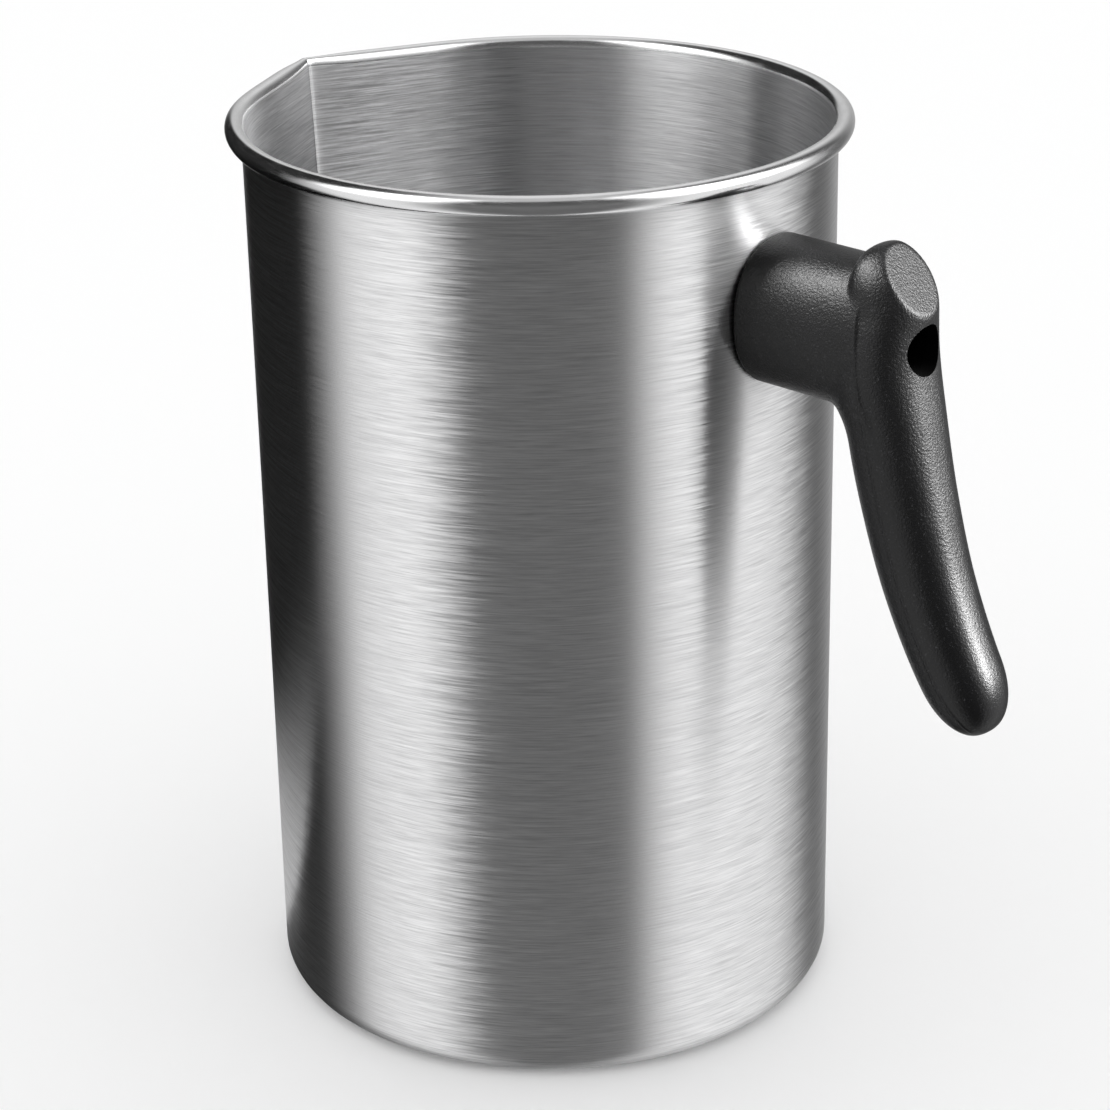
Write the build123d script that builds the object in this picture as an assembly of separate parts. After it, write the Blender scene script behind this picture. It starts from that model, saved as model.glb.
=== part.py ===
from build123d import *
import math
import os

# Candle melting pot: a straight drawn aluminium cup with a pressed V spout and a rolled rim,
# and a moulded phenolic handle screwed to a boss that is welded on the wall.
# Millimetres. +Z is up, the base stands on z = 0, the handle is on +X and the spout on -X.

# vessel
outerRadius = 65.0
wall = 1.0
height = 206.0
cornerRadius = 5.6
curlRadius = 2.25
curlLipGap = 0.2
spoutStartZ = 53.0
spoutStartReach = 0.2
spoutTopReach = 7.9
spoutSections = 7

# a length that reaches past the whole pot, for solids that trim others
pastPot = 4 * height

# welded boss and screw stack, all on one axis along +X
axisZ = 173.0
weldGap = 0.03
padRadius = 8.0
padThick = 1.6
bossRadius = 4.5
bossEndX = 80.0
threadRadius = 2.5
threadStartX = 67.0
bossRoom = 0.3
bossChamfer = 0.6

# handle: the neck's section at the wall and at the grip is half width, half height, centre height
neckStartX = 59.4
neckEndX = 96.0
neckAtWall = (13.2, 15.8, 174.1)
neckAtGrip = (11.0, 16.8, 173.9)
neckCornerShare = 0.8
throatRadius = 6.0
throatSearch = (11.0, 2.0)
gripLowestZ = 91.6
gripTopZ = 192.0
webEndX = 86.0
screwHoleRadius = 2.75
counterboreRadius = 5.5
facetX = 99.7
facetZ = 187.3
facetSlope = 55.0
facetRoom = 12.0
outerFaceX = 104.2

# fasteners, M5
screwRadius = 2.45
screwLength = 20.0
headRadius = 4.75
headHeight = 3.3
headRoundShare = 0.6
screwEndChamfer = 0.5
recessDepth = 2.2
recessWidth = 1.3
recessSpan = 5.2
washerBore = 2.65
flatWasherRadius = 5.0
flatWasherThick = 1.0
lockWasherRadius = 4.6
lockWasherThick = 1.2
lockWasherSplit = 1.2
lockWasherSlant = 30.0
seatGap = 0.05

# centre of the grip, its depth along X and its width along Y, from the top to the tip
gripStations = (
    (gripTopZ, 95.6, 8.0, 11.0),
    (187.0, 94.6, 16.2, 17.6),
    (172.0, 94.3, 19.2, 19.4),
    (155.0, 97.0, 19.0, 19.0),
    (138.0, 100.8, 19.0, 18.6),
    (121.0, 106.0, 18.4, 18.0),
    (106.0, 112.8, 17.6, 17.0),
    (97.0, 117.8, 14.8, 14.6),
    (93.4, 119.8, 10.6, 10.8),
    (gripLowestZ, 121.2, 5.6, 6.0),
)
gripCornerShare = 0.36


def on_axis(x):
    """Plane across the screw axis, facing +X."""
    return Plane(origin=(x, 0, axisZ), x_dir=(0, 1, 0), z_dir=(1, 0, 0))


def rod(x0, x1, radius):
    """Round bar on the screw axis from x0 to x1."""
    return extrude(on_axis(x0) * Circle(radius), x1 - x0)


def bead_z():
    """Height of the curl's centre line."""
    return height - curlRadius


def spout_reach(z):
    """How far the spout's crease stands out of the round wall at height z."""
    share = (z - spoutStartZ) / (bead_z() - spoutStartZ)
    return spoutStartReach + (spoutTopReach - spoutStartReach) * share


def spout_angle(z):
    """Half angle at which the spout's flat flanks leave the round wall tangentially."""
    return math.acos(outerRadius / (outerRadius + spout_reach(z)))


def section_outline(radius, z):
    """Level outline: a round wall of this radius and two tangent flanks that meet in the crease."""
    angle = spout_angle(z)
    crease = (-radius / math.cos(angle), 0, z)
    leave = (-radius * math.cos(angle), radius * math.sin(angle), z)
    join = (leave[0], -leave[1], z)
    half = (math.pi - angle) / 2
    near = (radius * math.cos(half), radius * math.sin(half), z)
    far = (near[0], -near[1], z)
    outline = [
        Line(crease, leave),
        ThreePointArc(leave, near, (radius, 0, z)),
        ThreePointArc((radius, 0, z), far, join),
        Line(join, crease),
    ]
    return make_face(outline)


def spout_body(radius):
    """Solid of the vessel's upper part, from the start of the spout to the curl."""
    rise = bead_z() - spoutStartZ
    levels = [spoutStartZ + rise * i / (spoutSections - 1) for i in range(spoutSections)]
    return loft([section_outline(radius, z) for z in levels], ruled=True)


def round_cup(radius, floor, corner, top):
    """Solid of revolution with a flat floor and a rounded bottom corner."""
    diagonal = corner * math.sqrt(0.5)
    outline = [
        Line((0, 0, floor), (radius - corner, 0, floor)),
        ThreePointArc(
            (radius - corner, 0, floor),
            (radius - corner + diagonal, 0, floor + corner - diagonal),
            (radius, 0, floor + corner),
        ),
        Line((radius, 0, floor + corner), (radius, 0, top)),
        Line((radius, 0, top), (0, 0, top)),
        Line((0, 0, top), (0, 0, floor)),
    ]
    return revolve(make_face(outline), Axis.Z)


def curl_section():
    """Section of the rolled rim in the XZ plane: a sheet bent outward round a hollow centre."""
    centreX = outerRadius - wall + curlRadius
    lip = -math.acos((outerRadius + curlLipGap - centreX) / curlRadius)
    sheetInner = curlRadius - wall

    def at(radius, angle):
        return (centreX + radius * math.cos(angle), 0, bead_z() + radius * math.sin(angle))

    middle = (math.pi + lip) / 2
    outline = [
        ThreePointArc(at(curlRadius, math.pi), at(curlRadius, middle), at(curlRadius, lip)),
        Line(at(curlRadius, lip), at(sheetInner, lip)),
        ThreePointArc(at(sheetInner, lip), at(sheetInner, middle), at(sheetInner, math.pi)),
        Line(at(sheetInner, math.pi), at(curlRadius, math.pi)),
    ]
    return make_face(outline)


def curl():
    """Rolled rim: round over most of the mouth, straight along the flanks, mitred at the crease."""
    angle = spout_angle(bead_z())
    turn = math.degrees(math.pi - angle)
    section = curl_section()
    halfRing = revolve(section, Axis.Z, turn)
    flankStart = Rot(0, 0, turn) * section
    along = Vector(-math.sin(math.pi - angle), math.cos(math.pi - angle), 0)
    flank = extrude(flankStart, 2 * outerRadius * math.tan(angle), dir=along)
    flank = flank & Pos(0, pastPot / 2, 0) * Box(pastPot, pastPot, pastPot)
    half = halfRing + flank
    return half + mirror(half, Plane.XZ)


def make_vessel():
    inner = outerRadius - wall
    outside = round_cup(outerRadius, 0, cornerRadius, spoutStartZ) + spout_body(outerRadius)
    inside = round_cup(inner, wall, cornerRadius - wall, spoutStartZ) + spout_body(inner)
    return outside - inside + curl()


def make_weld_boss():
    """Boss with a curved pad that fits the wall, tapped from its outer end."""
    pad = rod(outerRadius - padThick * 2, outerRadius + padThick, padRadius)
    boss = rod(outerRadius, bossEndX, bossRadius)
    pot = Cylinder(outerRadius + weldGap, pastPot)
    thread = rod(threadStartX, bossEndX + wall, threadRadius)
    boss = chamfer((pad + boss - pot).edges().filter_by(GeomType.CIRCLE).sort_by(Axis.X)[-1], bossChamfer)
    return boss - thread


def grip_section(z, x, depth, width, tilt):
    """Rounded section across the grip, tilted to stand square to its centre line."""
    across = (math.cos(tilt), 0, math.sin(tilt))
    along = (-math.sin(tilt), 0, math.cos(tilt))
    plane = Plane(origin=(x, 0, z), x_dir=across, z_dir=along)
    return plane * RectangleRounded(depth, width, gripCornerShare * min(depth, width))


def make_grip():
    """Curved grip lofted through its stations."""
    sections = []
    last = len(gripStations) - 1
    for i, (z, x, depth, width) in enumerate(gripStations):
        above = gripStations[max(i - 1, 0)]
        below = gripStations[min(i + 1, last)]
        tilt = math.atan2(below[1] - above[1], above[0] - below[0])
        sections.append(grip_section(z, x, depth, width, tilt))
    return loft(sections)


def neck_section(x, halfWidth, halfHeight, z):
    """Rounded section of the neck, which is taller than it is wide."""
    plane = Plane(origin=(x, 0, z), x_dir=(0, 1, 0), z_dir=(1, 0, 0))
    return plane * RectangleRounded(2 * halfWidth, 2 * halfHeight, neckCornerShare * halfWidth)


def is_throat(edge):
    """True for the edges where the neck's underside meets the grip."""
    middle = edge.center()
    gripX = gripStations[2][1]
    return gripX - throatSearch[0] < middle.X < gripX - throatSearch[1] and middle.Z < axisZ


def make_handle():
    neck = loft([neck_section(neckStartX, *neckAtWall), neck_section(neckEndX, *neckAtGrip)])
    body = neck + make_grip()
    body = fillet([edge for edge in body.edges() if is_throat(edge)], throatRadius)
    slope = math.radians(facetSlope)
    facet = Plane(
        origin=(facetX, 0, facetZ),
        x_dir=(0, 1, 0),
        z_dir=(math.sin(slope), 0, math.cos(slope)),
    )
    body -= extrude(facet * Rectangle(4 * facetRoom, 2 * facetRoom), facetRoom)
    body -= Cylinder(outerRadius + weldGap, pastPot)
    body -= rod(outerRadius - wall, outerRadius + padThick + bossRoom, padRadius + bossRoom)
    body -= rod(outerRadius - wall, bossEndX + bossRoom, bossRadius + bossRoom)
    body -= rod(bossEndX, webEndX + wall, screwHoleRadius)
    body -= rod(webEndX, outerFaceX + facetRoom, counterboreRadius)
    return body


def washer_x():
    """Where the flat washer, the lock washer and the screw head start along the screw axis."""
    flat = webEndX + seatGap
    lock = flat + flatWasherThick + seatGap
    head = lock + lockWasherThick + seatGap
    return flat, lock, head


def make_flat_washer():
    start = washer_x()[0]
    return rod(start, start + flatWasherThick, flatWasherRadius) - rod(0, height, washerBore)


def make_lock_washer():
    """Spring washer with its slanted split at the top."""
    start = washer_x()[1]
    ring = rod(start, start + lockWasherThick, lockWasherRadius) - rod(0, height, washerBore)
    middle = start + lockWasherThick / 2
    split = Box(3 * lockWasherThick, lockWasherSplit, lockWasherRadius)
    place = Pos(middle, 0, axisZ + lockWasherRadius) * Rot(0, 0, lockWasherSlant)
    return ring - place * split


def make_handle_screw():
    """Pan head screw with a cross recess; the thread is a plain shank."""
    start = washer_x()[2]
    head = rod(start, start + headHeight, headRadius)
    head = fillet(head.edges().filter_by(GeomType.CIRCLE).sort_by(Axis.X)[-1], headRoundShare * headHeight)
    shank = rod(start - screwLength, start + headHeight / 2, screwRadius)
    shank = chamfer(shank.edges().filter_by(GeomType.CIRCLE).sort_by(Axis.X)[0], screwEndChamfer)
    recessX = start + headHeight - recessDepth / 2
    recess = Pos(recessX, 0, axisZ) * Box(recessDepth, recessSpan, recessWidth)
    recess += Pos(recessX, 0, axisZ) * Box(recessDepth, recessWidth, recessSpan)
    return head + shank - recess


nodes = {
    "vessel": make_vessel,
    "weld_boss": make_weld_boss,
    "handle": make_handle,
    "flat_washer": make_flat_washer,
    "lock_washer": make_lock_washer,
    "handle_screw": make_handle_screw,
}

os.makedirs("parts", exist_ok=True)
for name, make in nodes.items():
    export_step(make(), "parts/" + name + ".step")
    print("wrote", name)
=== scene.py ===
import math

import bpy
import numpy as np
from mathutils import Matrix, Vector


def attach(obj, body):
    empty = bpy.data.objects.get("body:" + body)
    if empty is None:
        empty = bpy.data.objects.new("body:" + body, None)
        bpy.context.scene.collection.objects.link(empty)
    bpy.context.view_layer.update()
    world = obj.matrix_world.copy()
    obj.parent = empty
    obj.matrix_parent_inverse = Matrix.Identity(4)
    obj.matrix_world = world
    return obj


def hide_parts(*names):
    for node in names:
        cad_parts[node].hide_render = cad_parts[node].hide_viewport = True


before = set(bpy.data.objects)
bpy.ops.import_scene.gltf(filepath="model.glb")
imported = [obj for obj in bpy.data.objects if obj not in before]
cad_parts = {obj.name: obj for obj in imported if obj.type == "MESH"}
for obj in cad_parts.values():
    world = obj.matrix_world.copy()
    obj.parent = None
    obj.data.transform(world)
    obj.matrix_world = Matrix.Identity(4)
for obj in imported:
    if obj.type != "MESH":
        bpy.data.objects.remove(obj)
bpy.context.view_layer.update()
mm = 0.001
usualNoise = (0.3, 0.7)        # nearly all of a noise texture's values lie between these


def smoothStep(x, low, high):
    # 0 below low, 1 above high, an even S between them
    t = np.clip((x - low) / (high - low), 0, 1)
    return t * t * (3 - 2 * t)


def gridPiece(name, points, startPole, endPole, uv=None, rowMaterial=None, poleMaterial=0):
    # rows run along the profile, columns run round it and join up; quads lie between neighbouring rows,
    # and a fan of triangles closes the first and the last row, each to its pole
    rows, columns = points.shape[:2]
    index = np.arange(rows * columns).reshape(rows, columns)
    right = np.roll(index, -1, axis=1)
    startIndex = rows * columns
    endIndex = startIndex + 1
    quads = np.stack([index[:-1], right[:-1], right[1:], index[1:]], -1).reshape(-1, 4)
    startFan = np.stack([np.full(columns, startIndex), right[0], index[0]], -1)
    endFan = np.stack([index[-1], right[-1], np.full(columns, endIndex)], -1)
    verts = np.vstack([points.reshape(-1, 3), startPole, endPole])
    loops = np.concatenate([quads.ravel(), startFan.ravel(), endFan.ravel()]).astype(np.int32)
    sizes = np.repeat([4, 3], [len(quads), 2 * columns])
    starts = np.concatenate([[0], np.cumsum(sizes)[:-1]]).astype(np.int32)
    mesh = bpy.data.meshes.new(name)
    mesh.vertices.add(len(verts))
    mesh.vertices.foreach_set("co", verts.astype(np.float32).ravel())
    mesh.loops.add(len(loops))
    mesh.loops.foreach_set("vertex_index", loops)
    mesh.polygons.add(len(sizes))
    mesh.polygons.foreach_set("loop_start", starts)
    mesh.polygons.foreach_set("use_smooth", np.ones(len(sizes), bool))
    if rowMaterial is not None:
        slots = np.full(len(sizes), poleMaterial, np.int32)
        slots[:len(quads)] = np.repeat(rowMaterial, columns)
        mesh.polygons.foreach_set("material_index", slots)
    mesh.update(calc_edges=True)
    if uv is not None:
        across, along = uv       # one value for each column, one more than there are, and one for each row
        row = np.repeat(np.arange(rows - 1), columns)
        column = np.tile(np.arange(columns), rows - 1)
        ring = np.arange(columns)
        fanColumn = np.stack([ring, ring + 1, ring], -1).ravel()
        loopRow = np.concatenate([np.stack([row, row, row + 1, row + 1], -1).ravel(),
                                  np.zeros(3 * columns, int), np.full(3 * columns, rows - 1)])
        loopColumn = np.concatenate([np.stack([column, column + 1, column + 1, column], -1).ravel(),
                                     fanColumn, fanColumn])
        wrap = np.stack([across[loopColumn], along[loopRow]], -1)
        layer = mesh.uv_layers.new(name="wrap")
        layer.data.foreach_set("uv", wrap.astype(np.float32).ravel())
    mesh.validate()
    piece = bpy.data.objects.new(name, mesh)
    bpy.context.scene.collection.objects.link(piece)
    return piece


def setSockets(node, values):
    for name, value in values.items():
        node.inputs[name].default_value = value


def newMaterial(name):
    # the material with its nodes, its links and its shader
    material = bpy.data.materials.new(name)
    material.use_nodes = True
    nodes = material.node_tree.nodes
    return material, nodes, material.node_tree.links, nodes["Principled BSDF"]


def noiseNode(nodes, links, scale, detail, roughness=0.6):
    # noise on Object coordinates, with its own count of features per metre along x, y and z
    place = nodes.new("ShaderNodeTexCoord")
    mapping = nodes.new("ShaderNodeMapping")
    mapping.inputs["Scale"].default_value = scale
    noise = nodes.new("ShaderNodeTexNoise")
    setSockets(noise, {"Scale": 1.0, "Detail": detail, "Roughness": roughness})
    links.new(place.outputs["Object"], mapping.inputs["Vector"])
    links.new(mapping.outputs["Vector"], noise.inputs["Vector"])
    return noise.outputs["Fac"]


def mathNode(nodes, links, operation, first, second, third=0.0):
    # a number is set on its socket, and another node's output is linked to it
    node = nodes.new("ShaderNodeMath")
    node.operation = operation
    for socket, value in zip(node.inputs, (first, second, third)):
        if isinstance(value, (int, float)):
            socket.default_value = value
        else:
            links.new(value, socket)
    return node.outputs[0]


def rangeNode(nodes, links, value, fromLow, fromHigh, toLow, toHigh, smooth=False):
    # carries the first range onto the second, evenly or as an S, and holds the ends outside it
    node = nodes.new("ShaderNodeMapRange")
    node.interpolation_type = "SMOOTHSTEP" if smooth else "LINEAR"
    setSockets(node, {"From Min": fromLow, "From Max": fromHigh, "To Min": toLow, "To Max": toHigh})
    links.new(value, node.inputs["Value"])
    return node.outputs["Result"]


def mixColour(nodes, links, share, first, second):
    # first (1 - share) + second share
    node = nodes.new("ShaderNodeMix")
    node.data_type = "RGBA"
    sockets = (node.inputs["Factor"], node.inputs["A"], node.inputs["B"])
    for socket, value in zip(sockets, (share, first, second)):
        if isinstance(value, (int, float, tuple)):
            socket.default_value = value
        else:
            links.new(value, socket)
    return node.outputs["Result"]


def bumpNode(nodes, links, height, strength, distance):
    # a normal for a relief of this height in metres
    node = nodes.new("ShaderNodeBump")
    setSockets(node, {"Strength": strength, "Distance": distance})
    links.new(height, node.inputs["Height"])
    return node.outputs["Normal"]


cameraValues = {
    "bearing": -48.08,        # where the camera stands, in degrees round the pot from +X
    "distance": 0.6827,       # from the pot's axis
    "height": 0.3894,
    "pan": -0.12,             # degrees by which it looks to the side of the pot's axis
    "tilt": 22.96,            # degrees by which it looks down
    "roll": -1.04,            # degrees by which it is turned about its own line of sight
    "lens": 104.06,
    "sensor": 36.0,
}


def makeCamera(values):
    # back points from the pot to the camera; right is level and square to it, then turned by the roll
    data = bpy.data.cameras.new("camera")
    data.sensor_width = values["sensor"]
    data.lens = values["lens"]
    bearing = math.radians(values["bearing"])
    look = bearing + math.radians(values["pan"])
    tilt = math.radians(values["tilt"])
    roll = math.radians(values["roll"])
    place = Vector((values["distance"] * math.cos(bearing), values["distance"] * math.sin(bearing),
                    values["height"]))
    back = Vector((math.cos(look) * math.cos(tilt), math.sin(look) * math.cos(tilt), math.sin(tilt)))
    level = Vector((-math.sin(look), math.cos(look), 0))
    right = level * math.cos(roll) + back.cross(level) * math.sin(roll)
    up = back.cross(right)
    turn = Matrix((right, up, back)).transposed().to_4x4()
    camera = bpy.data.objects.new("camera", data)
    camera.matrix_world = Matrix.Translation(place) @ turn
    bpy.context.scene.collection.objects.link(camera)
    bpy.context.scene.camera = camera


makeCamera(cameraValues)
print("camera placed")


vesselValues = {
    "radius": 65.0,
    "wall": 1.0,
    "height": 206.0,
    "corner": 5.6,
    "curl": 2.25,
    "lipGap": 0.2,                 # between the rolled rim's edge and the wall
    "middle": 2.0,                 # radius of the smallest ring of the floor and of the base
    "spoutStart": 53.0,            # height at which the spout begins
    "spoutReach": 7.9,             # how far its crease stands out from the round wall at the rim
    "flankBlend": (0.26, 0.12),    # how gently the left and the right flank leave the round wall
    "creaseRound": 0.35,           # degrees
    "leftBulge": 0.9,              # how far the left flank swells at the rim
    "bulgeAt": 30.0,               # degrees from the crease, and the bulge's spread in degrees
    "bulgeSpread": 16.0,
    "pinch": 0.42,                 # share of its thickness that the rolled rim loses at the crease
    "pinchSpread": 6.0,            # degrees
    "pinchDepth": 4.0,             # how far below the rim's middle the pinch begins
    "evenColumns": 0.22,           # share of the columns' spacing that is even; the rest crowds at the crease
    "columns": 640,
    "floorRings": 10,
    "innerCornerRings": 9,
    "wallRings": 36,
    "curlRings": 30,
    "curlInnerRings": 12,
    "outerCornerRings": 10,
    "baseRings": 8,
}


def arcRun(centre, radius, start, end, count):
    # evenly spaced points from one angle to the other: centre + radius (cos, sin)
    a = np.linspace(start, end, count)
    return np.stack([centre[0] + radius * np.cos(a), centre[1] + radius * np.sin(a)], -1)


def vesselProfile(v):
    # radius and height along the sheet: inside floor, corner, wall, rolled rim, back down outside to the base
    outer = v["radius"]
    inner = outer - v["wall"]
    flat = outer - v["corner"]        # where the flat of the base ends
    curl = (inner + v["curl"], v["height"] - v["curl"])
    lip = -math.acos((outer + v["lipGap"] - curl[0]) / v["curl"])
    foot = (flat, v["corner"])
    quarter = math.pi / 2
    return np.vstack([
        np.linspace((v["middle"], v["wall"]), (flat, v["wall"]), v["floorRings"]),
        arcRun(foot, v["corner"] - v["wall"], -quarter, 0, v["innerCornerRings"])[1:],
        np.linspace((inner, v["corner"]), (inner, curl[1]), v["wallRings"])[1:],
        arcRun(curl, v["curl"], math.pi, lip, v["curlRings"])[1:],
        arcRun(curl, v["curl"] - v["wall"], lip, math.pi, v["curlInnerRings"]),
        np.linspace((outer, curl[1]), (outer, v["corner"]), v["wallRings"])[1:],
        arcRun(foot, v["corner"], 0, -quarter, v["outerCornerRings"])[1:],
        np.linspace((flat, 0), (v["middle"], 0), v["baseRings"])[1:],
    ])


def makeVessel(v):
    # each level is a circle with two flat flanks that leave it tangentially and meet in the crease:
    # radius = r / cos(t), where t falls from the flank's half angle at the crease to 0 on the round wall;
    # the left flank swells by a bell curve, and the rolled rim is thinner and lower at the crease
    profile = vesselProfile(v)
    r = profile[:, :1]
    z = profile[:, 1:]
    even = v["evenColumns"]
    u = np.linspace(-1, 1, v["columns"] + 1)
    turn = math.pi * (even * u + (1 - even) * u ** 3)      # angle from the crease, close together near it
    away = np.abs(turn[:-1])
    left = turn[:-1] < 0
    rimZ = v["height"] - v["curl"]
    share = np.clip((z - v["spoutStart"]) / (rimZ - v["spoutStart"]), 0, 1)
    flank = np.arccos(v["radius"] / (v["radius"] + v["spoutReach"] * share))
    leastBlend = 1e-4
    blend = np.where(left, v["flankBlend"][0], v["flankBlend"][1]) * flank + leastBlend
    crease = math.radians(v["creaseRound"])
    apart = np.sqrt(away ** 2 + crease ** 2) - crease / 2
    t = blend * np.logaddexp(0, (flank - apart) / blend)
    bell = np.exp(-((away - math.radians(v["bulgeAt"])) / math.radians(v["bulgeSpread"])) ** 2)
    bulge = v["leftBulge"] * bell * left * share ** 2
    spread = 1 / np.cos(t) + bulge / v["radius"]
    inner = v["radius"] - v["wall"]
    pinchFrom = rimZ - v["pinchDepth"]
    thin = v["pinch"] * np.exp(-(away / math.radians(v["pinchSpread"])) ** 2) * smoothStep(z, pinchFrom, rimZ)
    radius = (inner + (r - inner) * np.where(r > inner, 1 - thin, 1)) * spread
    height = np.where(z > pinchFrom, v["height"] - (v["height"] - z) * (1 - thin / 2), z)
    angle = math.pi - turn[:-1]
    points = np.stack([radius * np.cos(angle), radius * np.sin(angle), height], -1) * mm
    steps = np.hypot(*np.diff(profile, axis=0).T)
    along = np.concatenate([[0], np.cumsum(steps)])
    across = (turn / math.pi + 1) / 2
    # the rows between the rings take the wall's, the rolled rim's or the base's material: 0, 1 or 2
    wallMaterial, rimMaterial, baseMaterial = 0, 1, 2
    middleR, middleZ = ((profile[1:] + profile[:-1]) / 2).T
    onRim = (middleZ > rimZ) | ((middleR > v["radius"] + v["lipGap"] / 2) & (middleZ > rimZ - v["curl"]))
    onBase = (middleZ < v["corner"]) & (middleR < v["radius"] - v["corner"])
    rowMaterial = np.where(onRim, rimMaterial, np.where(onBase, baseMaterial, wallMaterial))
    return gridPiece("vessel_sheet", points, (0, 0, v["wall"] * mm), (0, 0, 0),
                     (across, along / along[-1]), rowMaterial, baseMaterial)


brushValues = {
    "fine": (110, 110, 3600),      # features per metre round the pot and up it
    "long": (45, 45, 2400),
    "fineShare": 0.6,              # of the two put together
    "dark": (0.64, 0.64, 0.645, 1),
    "bright": (0.97, 0.97, 0.975, 1),
    "tintFrom": (0.36, 0.64),      # the part of the noise that runs from dark to bright
    "swayFrom": (0.35, 0.65),      # and the part that runs over the roughness and the sway
    "roughness": (0.28, 0.32),
    "anisotropy": 1.0,
    "roundThePot": 0.25,           # quarter of a turn, so that the gleam spreads up and down
    "sway": 0.028,                 # how far a hair of the brushing turns the surface sideways
}


def vectorNode(nodes, links, operation, first, second=None):
    # the second is a number for SCALE and a vector otherwise, and only LENGTH gives a number
    node = nodes.new("ShaderNodeVectorMath")
    node.operation = operation
    links.new(first, node.inputs[0])
    if second is not None:
        links.new(second, node.inputs["Scale" if operation == "SCALE" else 1])
    return node.outputs["Value" if operation == "LENGTH" else "Vector"]


def brushedAluminium(name, v):
    # hairs of brushing run round the pot: noise tight along the height tints, roughens and sways the surface
    material, nodes, links, shader = newMaterial(name)
    setSockets(shader, {"Metallic": 1.0, "Anisotropic": v["anisotropy"],
                        "Anisotropic Rotation": v["roundThePot"], "IOR": 1.45})
    tangent = nodes.new("ShaderNodeTangent")
    tangent.direction_type = "UV_MAP"
    tangent.uv_map = "wrap"
    links.new(tangent.outputs["Tangent"], shader.inputs["Tangent"])
    fine = noiseNode(nodes, links, v["fine"], detail=3, roughness=0.65)
    long = noiseNode(nodes, links, v["long"], detail=2)
    longPart = mathNode(nodes, links, "MULTIPLY", long, 1 - v["fineShare"])
    both = mathNode(nodes, links, "MULTIPLY_ADD", fine, v["fineShare"], longPart)
    shade = rangeNode(nodes, links, both, *v["tintFrom"], 0, 1)
    links.new(mixColour(nodes, links, shade, v["dark"], v["bright"]), shader.inputs["Base Color"])
    links.new(rangeNode(nodes, links, both, *v["swayFrom"], *v["roughness"]), shader.inputs["Roughness"])
    # the swayed normal is the normal plus a share of the tangent
    sway = rangeNode(nodes, links, both, *v["swayFrom"], -v["sway"], v["sway"])
    sideways = vectorNode(nodes, links, "SCALE", tangent.outputs["Tangent"], sway)
    geometry = nodes.new("ShaderNodeNewGeometry")
    swayed = vectorNode(nodes, links, "ADD", geometry.outputs["Normal"], sideways)
    links.new(vectorNode(nodes, links, "NORMALIZE", swayed), shader.inputs["Normal"])
    return material


rimValues = {
    "scale": (240, 240, 2600),
    "dark": (0.80, 0.80, 0.805, 1),
    "bright": (0.95, 0.95, 0.955, 1),
    "roughness": (0.14, 0.24),
}


def polishedBead(name, v):
    # the rolled rim is burnished: faint rubbing marks only
    material, nodes, links, shader = newMaterial(name)
    setSockets(shader, {"Metallic": 1.0, "IOR": 1.45})
    marks = noiseNode(nodes, links, v["scale"], detail=3)
    links.new(mixColour(nodes, links, marks, v["dark"], v["bright"]), shader.inputs["Base Color"])
    links.new(rangeNode(nodes, links, marks, *usualNoise, *v["roughness"]), shader.inputs["Roughness"])
    return material


baseValues = {
    "ringsPerMetre": 1400.0,
    "dark": (0.66, 0.66, 0.665, 1),
    "bright": (0.90, 0.90, 0.905, 1),
    "roughness": (0.30, 0.42),
}


def spunBase(name, v):
    # the base shows faint rings round its middle: noise that depends on the distance from the axis alone
    material, nodes, links, shader = newMaterial(name)
    setSockets(shader, {"Metallic": 1.0, "IOR": 1.45})
    place = nodes.new("ShaderNodeTexCoord")
    flat = nodes.new("ShaderNodeMapping")
    flat.inputs["Scale"].default_value = (1, 1, 0)
    links.new(place.outputs["Object"], flat.inputs["Vector"])
    rings = nodes.new("ShaderNodeTexNoise")
    rings.noise_dimensions = "1D"
    setSockets(rings, {"Scale": v["ringsPerMetre"], "Detail": 3.0, "Roughness": 0.65})
    links.new(vectorNode(nodes, links, "LENGTH", flat.outputs["Vector"]), rings.inputs["W"])
    tone = rings.outputs["Fac"]
    links.new(mixColour(nodes, links, tone, v["dark"], v["bright"]), shader.inputs["Base Color"])
    links.new(rangeNode(nodes, links, tone, *usualNoise, *v["roughness"]), shader.inputs["Roughness"])
    return material


vessel = makeVessel(vesselValues)
vessel.data.materials.append(brushedAluminium("brushed_aluminium", brushValues))
vessel.data.materials.append(polishedBead("burnished_rim", rimValues))
vessel.data.materials.append(spunBase("spun_base", baseValues))
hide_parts("vessel")
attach(vessel, "root")
print("vessel made")


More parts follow.
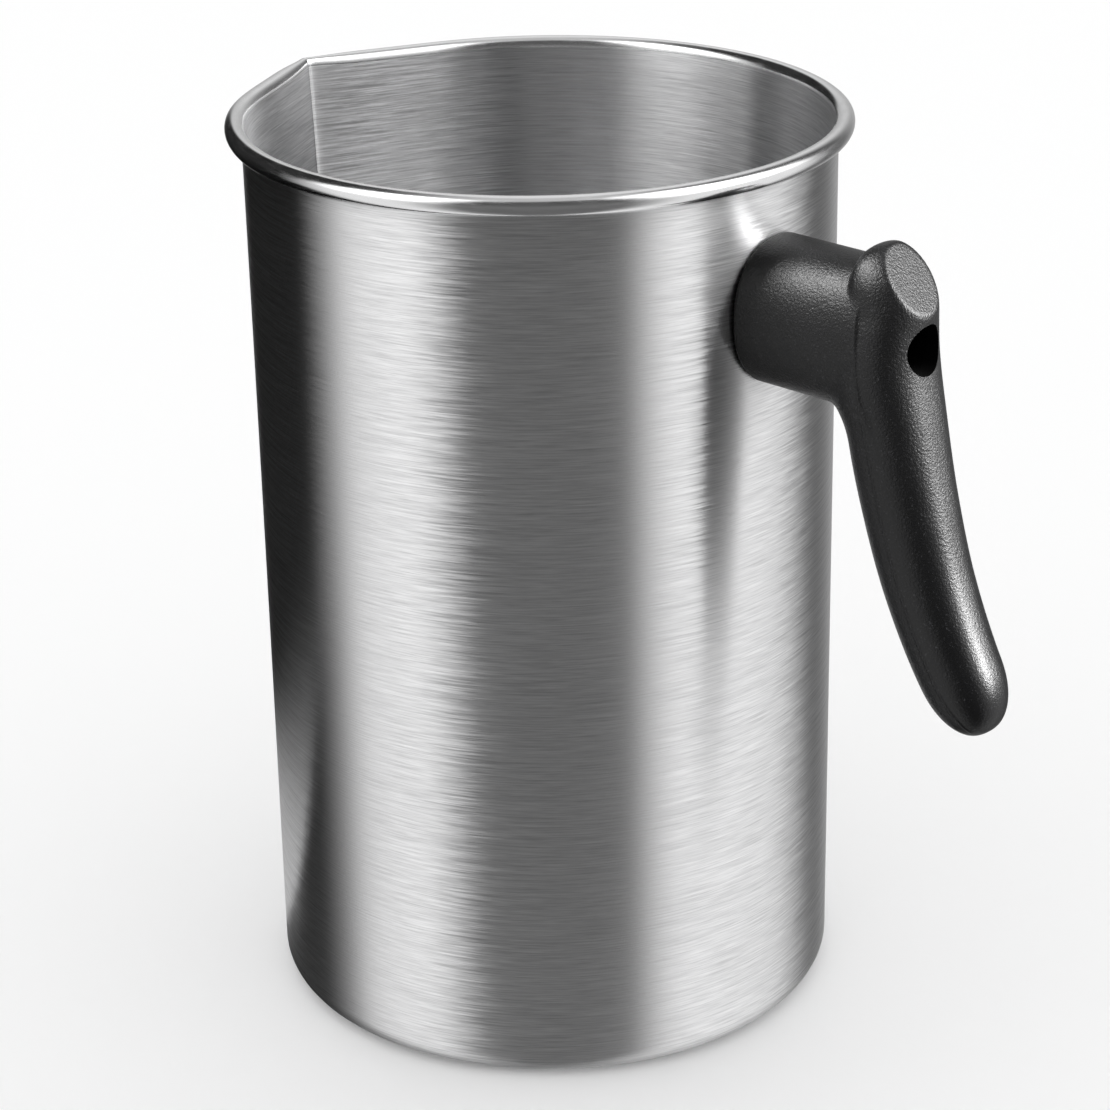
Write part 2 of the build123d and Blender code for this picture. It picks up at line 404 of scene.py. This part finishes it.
handleValues = {
    "wallRadius": 65.05,
    "axisZ": 173.0,                        # height of the bore
    "neckStartX": 65.0,
    "neckEndX": 92.0,
    "neckRunOn": 1.5,                      # how far the neck runs on inside the grip
    "neckAtWall": (13.0, 15.9, 174.2),     # half width, half height and middle
    "neckAtGrip": (10.9, 16.3, 173.6),
    "neckSquare": 2.3,                     # 2 is an ellipse, and more is squarer
    # down the grip: height, middle, depth towards the pot, depth away from it, half width
    "grip": (
        (183.0, 94.0, 7.0, 10.0, 9.6),
        (172.0, 93.8, 7.6, 10.0, 10.7),
        (155.0, 96.4, 8.7, 10.4, 10.2),
        (138.0, 100.2, 8.5, 10.6, 9.4),
        (121.0, 105.9, 8.1, 10.0, 9.0),
        (106.0, 113.2, 7.7, 9.2, 8.6),
        (93.0, 121.4, 7.0, 8.4, 8.0),
    ),
    "gripSquare": 2.4,
    "endSquare": 2.3,                      # of the grip's top and tip
    "gripScale": 9.5,
    "topStart": 177.0,
    "topRise": 12.0,
    "tipStart": 104.0,
    "tipReach": 13.6,
    "seamRidge": 0.14,                     # the mould's parting line: height and width
    "seamWidth": 0.3,
    "seamFrom": 4.0,                       # it lies only on the flanks, this far from the middle
    "seamFade": (190.0, 196.0),            # and fades out between these heights
    "facet": (99.7, 187.3, 55.0),          # a point on it and its slope in degrees
    "facetRound": 0.4,
    "dome": (11.7, 9.8, 9.4),              # half lengths down the facet, square to it and across
    "domeDepth": 7.0,
    "domeBlend": 1.2,
    "back": (91.2, 193.4, 34.0),           # a point on the slanted back and its slope in degrees
    "backRound": 2.4,
    "innerX": 89.5,                        # the grip's side towards the pot, upright above innerZ
    "innerZ": 170.0,
    "innerSlope": 1.5,
    "innerRound": 2.0,
    "throat": 5.5,                         # how far neck and grip melt together under the neck and above it
    "crease": 0.6,
    "throatFade": (157.0, 170.0),
    "endRound": 0.9,
    "pivot": (80.0, 152.0),                # the rows turn round this point between the neck and the grip
    "leanOver": 12.0,
    "levelStart": (85.0, 205.0),
    "levelRange": (80.0, 210.0),
    "levelSteps": 6,
    "levelShare": 0.6,                     # share of the way to the nearest level that each step takes
    "rayReach": 26.0,
    "halvings": 18,
    "capRows": 10,
    "neckRows": 36,
    "bendRows": 170,
    "gripRows": 100,
    "tipRows": 32,
    "columns": 260,
}


def softMin(a, b, k):
    # the lesser of the two, rounded off where they are within k of each other
    h = np.clip(0.5 + 0.5 * (b - a) / k, 0, 1)
    return b * (1 - h) + a * h - k * h * (1 - h)


def throughStations(x, stations, column):
    # one column of the stations as a smooth curve over their first: between two stations it is the cubic
    # that has their values and slopes, and past the ends a straight line
    table = np.array(stations)[::-1]
    at = table[:, 0]
    value = table[:, column]
    slope = np.gradient(value, at)
    i = np.clip(np.searchsorted(at, x) - 1, 0, len(at) - 2)
    gap = at[i + 1] - at[i]
    t = (x - at[i]) / gap
    c = np.clip(t, 0, 1)
    cubic = ((2 * c**3 - 3 * c**2 + 1) * value[i] + (c**3 - 2 * c**2 + c) * gap * slope[i]
             + (3 * c**2 - 2 * c**3) * value[i + 1] + (c**3 - c**2) * gap * slope[i + 1])
    return cubic + np.maximum(t - 1, 0) * gap * slope[i + 1] + np.minimum(t, 0) * gap * slope[i]


def gripLean(z, v):
    # how far the grip's middle leans over for each millimetre up: its rise from half below to half above
    return throughStations(z + 0.5, v["grip"], 1) - throughStations(z - 0.5, v["grip"], 1)


def neckForm(x, y, z, v):
    # a level bar, a superellipse in section: ((|y / half|^n + |(z - middle) / tall|^n)^(1/n) - 1) half
    s = (x - v["neckStartX"]) / (v["neckEndX"] - v["neckStartX"])
    s = np.clip(s, -0.2, 1.3)        # past its ends the section goes on changing only a little
    half, tall, middle = (a + (b - a) * s for a, b in zip(v["neckAtWall"], v["neckAtGrip"]))
    n = v["neckSquare"]
    neck = ((np.abs(y / half)**n + np.abs((z - middle) / tall)**n)**(1 / n) - 1) * half
    return np.maximum(neck, x - v["neckEndX"] - v["neckRunOn"])


def gripForm(x, y, z, v):
    # a bar round the stations' middle line. The level is the height at which that line comes nearest, found
    # by steps towards it; q is a superellipse of the distances out and across, in units of depth and width,
    # and (q^m + over^m + under^m)^(1/m) - 1 rounds off the top and the tip
    level = np.clip(z, *v["levelStart"])
    for _ in range(v["levelSteps"]):
        middle = throughStations(level, v["grip"], 1)
        lean = gripLean(level, v)
        step = z + (x - middle) * lean - level
        level = np.clip(level + v["levelShare"] * step, *v["levelRange"])
    stretch = np.sqrt(1 + lean**2)
    out = (x - middle) * stretch
    depth = np.where(out < 0, throughStations(level, v["grip"], 2), throughStations(level, v["grip"], 3))
    width = throughStations(level, v["grip"], 4)
    n = v["gripSquare"]
    q = (np.abs(out / depth)**n + np.abs(y / width)**n)**(1 / n)
    over = np.maximum(level - v["topStart"], 0) / v["topRise"]
    under = np.maximum(v["tipStart"] - level, 0) * stretch / v["tipReach"]
    m = v["endSquare"]
    grip = ((q**m + over**m + under**m)**(1 / m) - 1) * v["gripScale"]
    seam = np.exp(-(out / v["seamWidth"])**2) * (np.abs(y) > v["seamFrom"])
    return grip - v["seamRidge"] * seam * (1 - smoothStep(z, *v["seamFade"]))


def handleForm(p, v):
    # below 0 inside the handle: the grip joined to a dome, trimmed along its back, joined to the neck, and
    # cut off flat by the facet; each join and cut is a softMin with its own rounding
    x, y, z = p[..., 0], p[..., 1], p[..., 2]
    facetX, facetZ, facetSlope = v["facet"]
    cosine = math.cos(math.radians(facetSlope))
    sine = math.sin(math.radians(facetSlope))
    rise = (x - facetX) * sine + (z - facetZ) * cosine      # above the facet
    run = (x - facetX) * cosine - (z - facetZ) * sine       # along it, outward and down
    down, up, side = v["dome"]
    dome = (np.sqrt((run / down)**2 + (y / side)**2 + ((rise + v["domeDepth"]) / up)**2) - 1) * up
    grip = softMin(gripForm(x, y, z, v), dome, v["domeBlend"])
    backX, backZ, backSlope = v["back"]
    back = math.radians(backSlope)
    slant = (z - backZ) * math.cos(back) - (x - backX) * math.sin(back)
    inner = v["innerX"] - np.maximum(v["innerZ"] - z, 0) * v["innerSlope"] - x
    grip = -softMin(-grip, softMin(-slant, -inner, v["innerRound"]), v["backRound"])
    melt = v["crease"] + (v["throat"] - v["crease"]) * (1 - smoothStep(z, *v["throatFade"]))
    whole = softMin(neckForm(x, y, z, v), grip, melt)
    return -softMin(-whole, -rise, v["facetRound"])


def solve(origin, direction, v):
    # how far each ray goes before it leaves the handle, closed in on by halving
    near = np.zeros(origin.shape[:-1])
    far = np.full(origin.shape[:-1], v["rayReach"])
    for _ in range(v["halvings"]):
        middle = (near + far) / 2
        inside = handleForm(origin + direction * middle[..., None], v) < 0
        near = np.where(inside, middle, near)
        far = np.where(inside, far, middle)
    return (near + far) / 2


def handleSpine(v):
    # the line that the rows stand across, as (x, z), and its direction: level along the neck, a quarter turn
    # round the pivot, whose reach passes smoothly from the neck's to the grip's, and down the grip's middle
    pivotX, pivotZ = v["pivot"]
    axis = v["neckAtWall"][2]
    x = np.linspace(v["neckStartX"], pivotX, v["neckRows"], endpoint=False)
    neck = np.stack([x, np.full_like(x, axis)], -1)
    neckWay = np.tile([1.0, 0.0], (len(x), 1))
    turn = np.linspace(0, math.pi / 2, v["bendRows"], endpoint=False)
    neckReach = axis - pivotZ
    gripReach = throughStations(np.array([pivotZ]), v["grip"], 1)[0] - pivotX
    reach = neckReach + (gripReach - neckReach) * smoothStep(turn, 0, math.pi / 2)
    bend = np.stack([pivotX + reach * np.sin(turn), pivotZ + reach * np.cos(turn)], -1)
    bendWay = np.stack([np.cos(turn), -np.sin(turn)], -1)
    z = np.linspace(pivotZ, v["tipStart"], v["gripRows"])
    grip = np.stack([throughStations(z, v["grip"], 1), z], -1)
    lean = gripLean(z, v) * np.clip((pivotZ - z) / v["leanOver"], 0, 1)
    gripWay = np.stack([-lean, -np.ones_like(z)], -1)
    gripWay /= np.linalg.norm(gripWay, axis=1, keepdims=True)
    return np.vstack([neck, bend, grip]), np.vstack([neckWay, bendWay, gripWay])


def handleGrid(v):
    # every row is a ring of rays square to the spine, and for the tip the rings fan out round the spine's
    # last point; the row's points are where its rays leave the handle
    columns = v["columns"]
    axis = v["neckAtWall"][2]
    spine, way = handleSpine(v)
    across = np.stack([-way[:, 1], way[:, 0]], -1)
    a = np.linspace(0, 2 * math.pi, columns, endpoint=False)
    sideways = np.broadcast_to(np.sin(a), (len(spine), columns))
    ray = np.stack([across[:, :1] * np.cos(a), sideways, across[:, 1:] * np.cos(a)], -1)
    tipWay = np.array([way[-1, 0], 0, way[-1, 1]])
    fan = np.linspace(0, math.pi / 2, v["tipRows"] + 1)[1:-1, None, None]
    ray = np.vstack([ray, ray[-1] * np.cos(fan) + tipWay * np.sin(fan)])
    spine = np.vstack([spine, np.tile(spine[-1], (len(fan), 1))])
    origin = np.stack([spine[:, 0], np.zeros(len(spine)), spine[:, 1]], -1)
    origin = origin[:, None] * np.ones((1, columns, 1))
    reach = solve(origin, ray, v)
    # the edge against the wall is rounded: near it the rows draw in by e - sqrt(e^2 - d^2)
    onNeck = np.arange(len(spine)) < v["neckRows"]
    endRound = v["endRound"]
    d = np.clip(endRound - (spine[:, 0] - v["neckStartX"]), 0, endRound) * onNeck
    reach = reach - (endRound - np.sqrt(endRound**2 - d**2))[:, None]
    points = origin + ray * reach[..., None]
    # the neck's end is a saddle on the round wall, x = sqrt(r^2 - y^2), which fades out along the neck
    saddle = np.sqrt(v["wallRadius"]**2 - points[..., 1]**2) - v["neckStartX"]
    fade = (1 - smoothStep(spine[:, 0], v["neckStartX"], v["pivot"][0])) * onNeck
    points[..., 0] += saddle * fade[:, None]
    tipPole = origin[-1, 0] + tipWay * solve(origin[-1:, :1], tipWay[None, None], v)[0, 0]
    # smaller and smaller rings close the end along the same saddle
    share = np.linspace(0.1, 1, v["capRows"], endpoint=False)[:, None]
    cap = np.zeros((v["capRows"], columns, 3))
    cap[..., 1] = points[0, :, 1] * share
    cap[..., 2] = axis + (points[0, :, 2] - axis) * share
    cap[..., 0] = np.sqrt(v["wallRadius"]**2 - cap[..., 1]**2)
    return np.vstack([cap, points]), (v["wallRadius"], 0, axis), tipPole


boreValues = {
    "start": 60.0,
    "steps": ((66.9, 8.3), (80.3, 4.8), (86.0, 2.75), (112.0, 5.45)),     # each ends at x and has its radius
    "slack": (0.1, 0.02),          # along x and outwards, within which a face belongs to the last step
    "sharpOver": 50.0,             # degrees between faces past which an edge is drawn sharp
    "columns": 96,
}


def lathePiece(name, profile, height, columns):
    # a profile of (x, radius) turned round a level line: y = radius cos(a), z = height + radius sin(a)
    a = np.linspace(0, 2 * math.pi, columns, endpoint=False)
    x, r = np.array(profile).T
    along = np.repeat(x[:, None], columns, 1)
    points = np.stack([along, r[:, None] * np.cos(a), height + r[:, None] * np.sin(a)], -1)
    return gridPiece(name, points * mm, (x[0] * mm, 0, height * mm), (x[-1] * mm, 0, height * mm))


def makeHandle(v, b):
    # the solved surface with the bore's steps cut out of it
    points, startPole, endPole = handleGrid(v)
    handle = gridPiece("handle_moulding", points[:, ::-1] * mm, np.array(startPole) * mm, endPole * mm)
    profile = []
    x = b["start"]
    for end, radius in b["steps"]:
        profile += [(x, radius), (end, radius)]
        x = end
    cutter = lathePiece("bore", profile, v["axisZ"], b["columns"])
    cut = handle.modifiers.new("bore", "BOOLEAN")
    cut.operation = "DIFFERENCE"
    cut.solver = "EXACT"
    cut.object = cutter
    graph = bpy.context.evaluated_depsgraph_get()
    mesh = bpy.data.meshes.new_from_object(handle.evaluated_get(graph))
    handle.modifiers.clear()
    handle.data = mesh
    mesh.materials.clear()
    bpy.data.objects.remove(cutter)
    # faces whose middle lies inside the last step's radius and past its start take the second material, a
    # darker copy of the phenolic that paints shade into the bore
    middle = np.empty(3 * len(mesh.polygons))
    mesh.polygons.foreach_get("center", middle)
    middle = middle.reshape(-1, 3) / mm
    alongSlack, outSlack = b["slack"]
    inBore = np.hypot(middle[:, 1], middle[:, 2] - v["axisZ"]) < b["steps"][-1][1] + outSlack
    inBore &= middle[:, 0] > b["steps"][-2][0] - alongSlack
    mesh.polygons.foreach_set("material_index", inBore.astype(np.int32))
    mesh.set_sharp_from_angle(angle=math.radians(b["sharpOver"]))
    print("handle faces", len(mesh.polygons))
    return handle


# the bore's colours are painted shade: darker than the phenolic's own colour, with a faint random mottle
boreShadeFinish = {
    "gloss": 1.15,
    "shadeMottle": (700, 700, 700),
    "dark": (0.0004, 0.0004, 0.0004, 1),
    "pale": (0.0012, 0.0012, 0.0012, 1),
    "roughness": (0.75, 0.95),
}


def borePaintedShade(name, v):
    # the drilled hole is painted darker than the handle's own phenolic, as painted shade, and made dull so
    # that it reflects little
    material, nodes, links, shader = newMaterial(name)
    setSockets(shader, {"IOR": v["gloss"]})
    shadeMottle = noiseNode(nodes, links, v["shadeMottle"], detail=2)
    links.new(mixColour(nodes, links, shadeMottle, v["dark"], v["pale"]), shader.inputs["Base Color"])
    links.new(rangeNode(nodes, links, shadeMottle, *usualNoise, *v["roughness"]), shader.inputs["Roughness"])
    return material


phenolicValues = {
    "colour": (0.0018, 0.0018, 0.002, 1),
    "fleck": (0.05, 0.05, 0.054, 1),
    "fleckFrom": (0.62, 0.78),     # the part of the grain that shows as flecks
    "gloss": 1.42,
    "wornBetween": (0.105, 0.165),     # heights in metres over which the worn grip passes into the neck
    "roughness": (0.31, 0.40),     # worn grip, neck
    "grain": (1900, 1900, 1900),
    "cloud": (160, 160, 160),
    "cloudRoughness": 0.08,
    "wornRelief": 0.55,            # share of the grain's height that is left on the worn grip
    "grainHeight": 0.00016,
}


def phenolic(name, v):
    # moulded grain that is rough by the neck and worn smoother down the grip
    material, nodes, links, shader = newMaterial(name)
    setSockets(shader, {"IOR": v["gloss"]})
    grain = noiseNode(nodes, links, v["grain"], detail=2, roughness=0.7)
    cloud = noiseNode(nodes, links, v["cloud"], detail=2)
    place = nodes.new("ShaderNodeTexCoord")
    split = nodes.new("ShaderNodeSeparateXYZ")
    links.new(place.outputs["Object"], split.inputs[0])
    upper = rangeNode(nodes, links, split.outputs["Z"], *v["wornBetween"], 0, 1, True)
    coarse = rangeNode(nodes, links, grain, *v["fleckFrom"], 0, 1)
    fleck = mathNode(nodes, links, "MULTIPLY", coarse, cloud)
    links.new(mixColour(nodes, links, fleck, v["colour"], v["fleck"]), shader.inputs["Base Color"])
    rough = rangeNode(nodes, links, upper, 0, 1, *v["roughness"])
    rough = mathNode(nodes, links, "MULTIPLY_ADD", cloud, v["cloudRoughness"], rough)
    rough = mathNode(nodes, links, "SUBTRACT", rough, v["cloudRoughness"] / 2)
    links.new(rough, shader.inputs["Roughness"])
    left = rangeNode(nodes, links, upper, 0, 1, v["wornRelief"], 1)
    relief = mathNode(nodes, links, "MULTIPLY", grain, left)
    links.new(bumpNode(nodes, links, relief, 1.0, v["grainHeight"]), shader.inputs["Normal"])
    return material


handle = makeHandle(handleValues, boreValues)
handle.data.materials.append(phenolic("black_phenolic", phenolicValues))
handle.data.materials.append(borePaintedShade("drilled_phenolic_painted_shade", boreShadeFinish))
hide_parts("handle")
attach(handle, "root")
print("handle made")


# scale is noise features per metre along x, y and z
hardwareValues = {
    "cast_boss": {"colour": (0.80, 0.80, 0.79), "roughness": (0.36, 0.50), "scale": (900, 2600, 2600)},
    "zinc_plate": {"colour": (0.78, 0.79, 0.80), "roughness": (0.22, 0.36), "scale": (2400, 900, 900)},
    "dullShare": 0.72,             # brightness of the darkest marks, as a share of the colour's
    "markStrength": 0.3,
    "markHeight": 0.00003,
}


def turnedMetal(name, v):
    # plated or turned metal with a faint cloud and fine marks
    finish = v[name]
    material, nodes, links, shader = newMaterial(name)
    setSockets(shader, {"Metallic": 1.0, "IOR": 1.45})
    marks = noiseNode(nodes, links, finish["scale"], detail=3)
    dull = tuple(v["dullShare"] * c for c in finish["colour"])
    tone = mixColour(nodes, links, marks, (*dull, 1), (*finish["colour"], 1))
    links.new(tone, shader.inputs["Base Color"])
    links.new(rangeNode(nodes, links, marks, *usualNoise, *finish["roughness"]), shader.inputs["Roughness"])
    relief = bumpNode(nodes, links, marks, v["markStrength"], v["markHeight"])
    links.new(relief, shader.inputs["Normal"])
    return material


castBoss = turnedMetal("cast_boss", hardwareValues)
zincPlate = turnedMetal("zinc_plate", hardwareValues)
hardwareFinish = {
    "weld_boss": castBoss,
    "flat_washer": zincPlate,
    "lock_washer": zincPlate,
    "handle_screw": zincPlate,
}
for node, finish in hardwareFinish.items():
    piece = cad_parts[node]
    piece.data.materials.clear()
    piece.data.materials.append(finish)
print("hardware finished")


stageValues = {
    "floorSize": 6.0,
    "floorColour": (0.93, 0.93, 0.93, 1),
    "floorRoughness": 0.9,
    "floorInGloss": 0.03,          # how much of the near floor the metal mirrors
    "sideInGloss": 0.80,           # and how much more of it at the pot's left
    "nearFloor": (0.12, 0.20),     # where that starts and ends to fade, from the middle of the pot
    "sideEdge": (-104, -96),       # bearing from the front where the left side of the floor begins
    "softLight": 1.08,
    "handleLightAim": (0.105, 0, 0.14),
    "handleLightAway": 1.1,
    # degrees from the front and above the floor, width, height and power
    "handleLights": {
        "grip_light": (80.0, 20.0, 0.24, 0.60, 40.0),
        "neck_light": (-78.0, 44.0, 0.30, 0.30, 22.0),
    },
    "facing": cameraValues["bearing"],     # the front, from which the stage's bearings count
    "gloss": 1.15,
    # tall soft boxes round the pot: middle in degrees from the front, full width, soft edge, brightness
    "boxes": {
        "left_box": (-66, 20, 34, 0.75),
        "right_box": (78, 44, 34, 0.75),
        "back_box": (180, 20, 50, 0.40),
    },
    "roomLight": 0.12,
    "overhead": 0.45,
    "overheadRise": (60.0, 78.0),  # degrees above the floor over which the overhead takes over
    "boxRise": (5.0, 35.0),        # over these heights the soft boxes grow brighter and the gaps darker
    "boxTop": 4.2,
    # the black flag's left and right edges, low down and high up, and the heights between which they lean
    "flagLow": (-165, -93),
    "flagHigh": (-165, -102),
    "flagLean": (-30.0, -12.0),
    "flagSoft": 8.0,
    "flagTop": (50.0, 70.0),
    "flagColour": (0.002, 0.002, 0.002, 1),
}


def bearingNode(nodes, links, place, facing):
    # degrees round the upright axis from the facing direction, -180 to 180
    split = nodes.new("ShaderNodeSeparateXYZ")
    links.new(place, split.inputs[0])
    angle = mathNode(nodes, links, "ARCTAN2", split.outputs["Y"], split.outputs["X"])
    share = mathNode(nodes, links, "MULTIPLY_ADD", angle, 1 / (2 * math.pi), 0.5 - facing / 360)
    share = mathNode(nodes, links, "FRACT", share, 0.0)
    return mathNode(nodes, links, "MULTIPLY_ADD", share, 360.0, -180.0)


def makeStage(v):
    # a flat floor that every ray but a mirrored one sees whole; mirrored, it is there only near the pot
    half = v["floorSize"] / 2
    corners = [(-half, -half, 0), (half, -half, 0), (half, half, 0), (-half, half, 0)]
    mesh = bpy.data.meshes.new("floor")
    mesh.from_pydata(corners, [], [(0, 1, 2, 3)])
    floor = bpy.data.objects.new("floor", mesh)
    bpy.context.scene.collection.objects.link(floor)
    material, nodes, links, shader = newMaterial("floor_paint")
    setSockets(shader, {"Base Color": v["floorColour"], "Roughness": v["floorRoughness"]})
    path = nodes.new("ShaderNodeLightPath")
    clear = nodes.new("ShaderNodeBsdfTransparent")
    mixed = nodes.new("ShaderNodeMixShader")
    place = nodes.new("ShaderNodeTexCoord")
    reach = vectorNode(nodes, links, "LENGTH", place.outputs["Object"])
    near = rangeNode(nodes, links, reach, *v["nearFloor"], 1, 0, True)
    bearing = bearingNode(nodes, links, place.outputs["Object"], v["facing"])
    leftShare = v["sideInGloss"] + v["floorInGloss"]
    side = rangeNode(nodes, links, bearing, *v["sideEdge"], leftShare, v["floorInGloss"], True)
    seen = mathNode(nodes, links, "MULTIPLY", near, side)
    unseen = mathNode(nodes, links, "SUBTRACT", 1.0, seen)
    links.new(mathNode(nodes, links, "MULTIPLY", path.outputs["Is Glossy Ray"], unseen), mixed.inputs[0])
    links.new(shader.outputs[0], mixed.inputs[1])
    links.new(clear.outputs[0], mixed.inputs[2])
    links.new(mixed.outputs[0], nodes["Material Output"].inputs["Surface"])
    mesh.materials.append(material)


def sines(degrees):
    # the world's upright coordinate at these angles above the floor
    return [math.sin(math.radians(angle)) for angle in degrees]


def makeLight(v):
    # even white light, and for reflections tall soft boxes, an overhead and a black flag: the brightness
    # depends on the bearing and on the height above the floor
    world = bpy.data.worlds.new("studio")
    world.use_nodes = True
    nodes = world.node_tree.nodes
    links = world.node_tree.links
    place = nodes.new("ShaderNodeTexCoord")
    split = nodes.new("ShaderNodeSeparateXYZ")
    links.new(place.outputs["Generated"], split.inputs[0])
    height = split.outputs["Z"]
    degrees = bearingNode(nodes, links, place.outputs["Generated"], v["facing"])
    # each box is full inside its width, fades over its edge, and the brightest box or the room shows
    around = v["roomLight"]
    for middle, width, edge, glow in v["boxes"].values():
        turned = mathNode(nodes, links, "SUBTRACT", degrees, middle)
        turned = mathNode(nodes, links, "WRAP", turned, 180.0, -180.0)
        off = mathNode(nodes, links, "ABSOLUTE", turned, 0.0)
        box = rangeNode(nodes, links, off, width / 2, width / 2 + edge, glow, 0, True)
        around = mathNode(nodes, links, "MAXIMUM", box, around)
    # higher up it is the square of that brightness, times boxTop, and near the top the even overhead
    above = rangeNode(nodes, links, height, *sines(v["overheadRise"]), 0, 1, True)
    overhead = (v["overhead"], v["overhead"], v["overhead"], 1)
    rise = rangeNode(nodes, links, height, *sines(v["boxRise"]), 0, 1, True)
    upper = mathNode(nodes, links, "MULTIPLY", mathNode(nodes, links, "POWER", around, 2.0), v["boxTop"])
    gloss = mixColour(nodes, links, rise, around, upper)
    gloss = mixColour(nodes, links, above, gloss, overhead)
    # the flag is where the bearing lies between its two leaning edges
    inside = 1.0
    for side, lowEdge, highEdge in zip((1, -1), v["flagLow"], v["flagHigh"]):
        edge = rangeNode(nodes, links, height, *sines(v["flagLean"]), lowEdge, highEdge, True)
        past = mathNode(nodes, links, "MULTIPLY", mathNode(nodes, links, "SUBTRACT", degrees, edge), side)
        past = rangeNode(nodes, links, past, -v["flagSoft"] / 2, v["flagSoft"] / 2, 0, 1, True)
        inside = mathNode(nodes, links, "MULTIPLY", past, inside)
    under = rangeNode(nodes, links, height, *sines(v["flagTop"]), 1, 0, True)
    inside = mathNode(nodes, links, "MULTIPLY", inside, under)
    gloss = mixColour(nodes, links, inside, gloss, v["flagColour"])
    path = nodes.new("ShaderNodeLightPath")
    even = nodes.new("ShaderNodeBackground")
    setSockets(even, {"Color": (1, 1, 1, 1), "Strength": v["softLight"]})
    boxed = nodes["Background"]
    boxed.inputs["Strength"].default_value = v["gloss"]
    links.new(gloss, boxed.inputs["Color"])
    mixed = nodes.new("ShaderNodeMixShader")
    links.new(path.outputs["Is Glossy Ray"], mixed.inputs[0])
    links.new(even.outputs[0], mixed.inputs[1])
    links.new(boxed.outputs[0], mixed.inputs[2])
    links.new(mixed.outputs[0], nodes["World Output"].inputs["Surface"])
    bpy.context.scene.world = world


def makeHandleLights(v, target):
    # small soft boxes that only light the handle
    lit = bpy.data.collections.new("lit_by_handle_lights")
    lit.objects.link(target)
    for name, (side, above, width, tall, power) in v["handleLights"].items():
        data = bpy.data.lights.new(name, "AREA")
        data.shape = "RECTANGLE"
        data.size = width
        data.size_y = tall
        data.energy = power
        bearing = math.radians(v["facing"] + side)
        rise = math.radians(above)
        level = math.cos(rise)
        back = Vector((math.cos(bearing) * level, math.sin(bearing) * level, math.sin(rise)))
        light = bpy.data.objects.new(name, data)
        turn = back.to_track_quat("Z", "Y").to_matrix().to_4x4()
        place = Vector(v["handleLightAim"]) + back * v["handleLightAway"]
        light.matrix_world = Matrix.Translation(place) @ turn
        bpy.context.scene.collection.objects.link(light)
        light.light_linking.receiver_collection = lit


makeStage(stageValues)
makeLight(stageValues)
makeHandleLights(stageValues, handle)
bpy.context.scene.view_settings.view_transform = "Standard"
print("stage lit")
